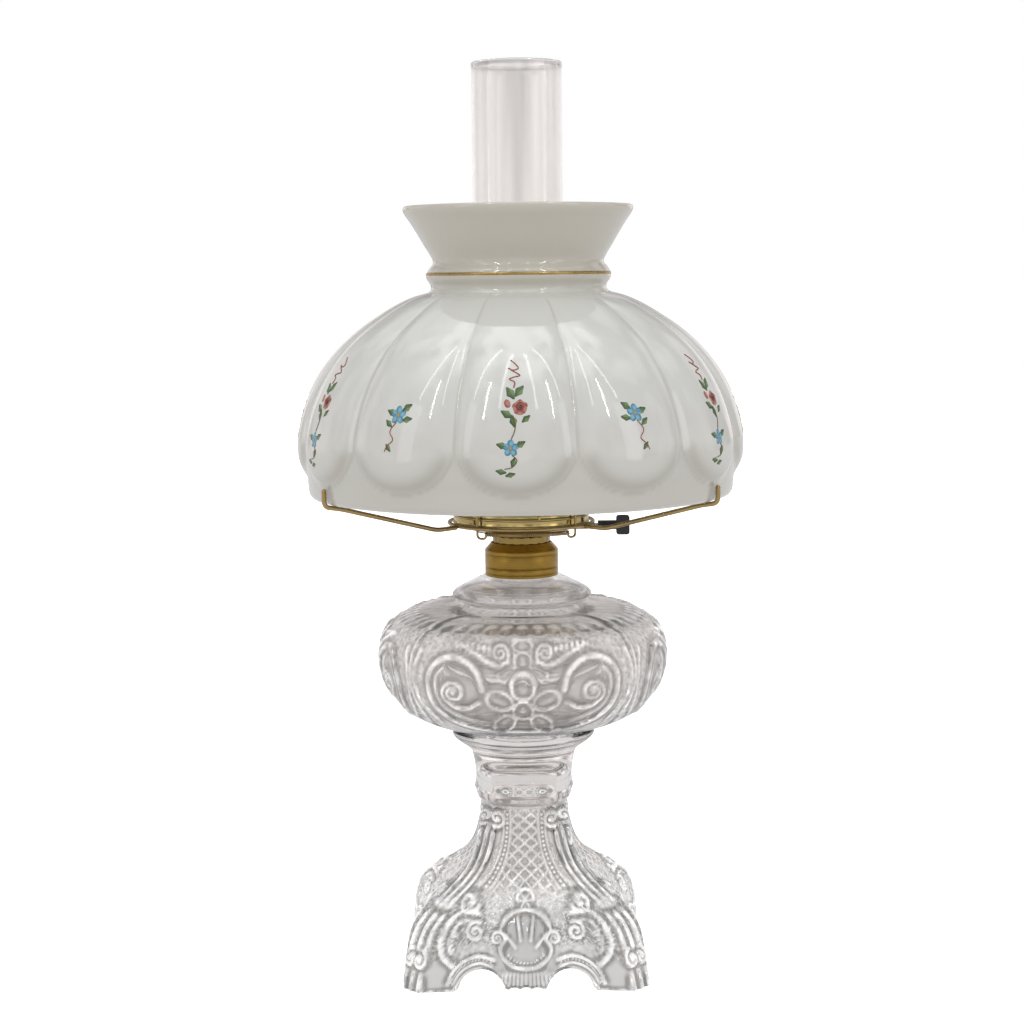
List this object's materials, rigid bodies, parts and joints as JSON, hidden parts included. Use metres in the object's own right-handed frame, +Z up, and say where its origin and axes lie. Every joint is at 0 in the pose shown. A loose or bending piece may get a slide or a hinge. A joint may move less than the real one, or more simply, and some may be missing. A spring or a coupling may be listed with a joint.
{
  "type": "oil lamp",
  "caption": "Table lamp in oil-lamp style: clear pressed-glass foot and font, brass collar and burner with turn key, glass chimney, melon-ribbed opal shade on a wire holder.",
  "frame": {"origin": "on the lamp's vertical axis, at the surface that the four glass feet stand on", "axes": "+Z up along the axis, -Y towards the front lobe and front face of the foot, +X towards the turn key"},
  "size_m": [0.2665, 0.2664, 0.54],
  "materials": {
    "clear_glass": "clear pressed and blown glass, fire polished",
    "opal_glass": "opaque white opal glass, glossy, with painted flower sprays and a gilt line",
    "bulb_glass": "thin clear bulb glass",
    "satin_brass": "turned brass, satin, lacquered",
    "polished_brass": "polished pressed brass",
    "brass_wire": "drawn brass wire, slightly aged",
    "plated_steel": "zinc plated steel",
    "black_phenolic": "black moulded insulator, half gloss",
    "plaster": "white plaster cement",
    "tungsten": "coiled lamp wire"
  },
  "bodies": {
    "base": {"pedestal": "clear_glass", "font": "clear_glass", "collar": "satin_brass", "collar_cement": "plaster"},
    "burner": {"burner_thimble": "polished_brass", "gallery": "polished_brass", "chimney_deck": "polished_brass", "chimney_prongs": "polished_brass", "prong_rivets": "polished_brass", "mounting_nipple": "plated_steel", "lock_nut": "plated_steel", "socket_body": "black_phenolic", "socket_screw_shell": "polished_brass", "centre_contact": "polished_brass", "terminal_screws": "satin_brass", "key_bushing": "satin_brass", "cord_bushing": "black_phenolic"},
    "key": {"key_rotor": "black_phenolic", "key_stem": "plated_steel", "turn_key": "black_phenolic"},
    "bulb": {"bulb_glass": "bulb_glass", "bulb_cap": "satin_brass", "bulb_tip": "black_phenolic", "filament_mount": "bulb_glass", "filament": "tungsten"},
    "glass_chimney": {"chimney": "clear_glass"},
    "shade_holder": {"holder_ring": "brass_wire", "holder_arm_left": "brass_wire", "holder_arm_right": "brass_wire", "holder_arm_rear": "brass_wire", "holder_clips": "brass_wire", "holder_spring": "brass_wire"},
    "glass_shade": {"shade": "opal_glass"}
  },
  "joints": [
    {"name": "burner_lift", "type": "slide", "parent": "base", "child": "burner", "axis": [0, 0, 1], "range_m": [0, 0.06]},
    {"name": "key_turn", "type": "hinge", "parent": "burner", "child": "key", "pos_m": [0.05, 0, 0.2645], "axis": [1, 0, 0], "continuous": true},
    {"name": "bulb_lift", "type": "slide", "parent": "burner", "child": "bulb", "axis": [0, 0, 1], "range_m": [0, 0.28]},
    {"name": "chimney_lift", "type": "slide", "parent": "burner", "child": "glass_chimney", "axis": [0, 0, 1], "range_m": [0, 0.2]},
    {"name": "holder_lift", "type": "slide", "parent": "burner", "child": "shade_holder", "axis": [0, 0, 1], "range_m": [0, 0.29]},
    {"name": "shade_lift", "type": "slide", "parent": "shade_holder", "child": "glass_shade", "axis": [0, 0, 1], "range_m": [0, 0.27]}
  ]
}
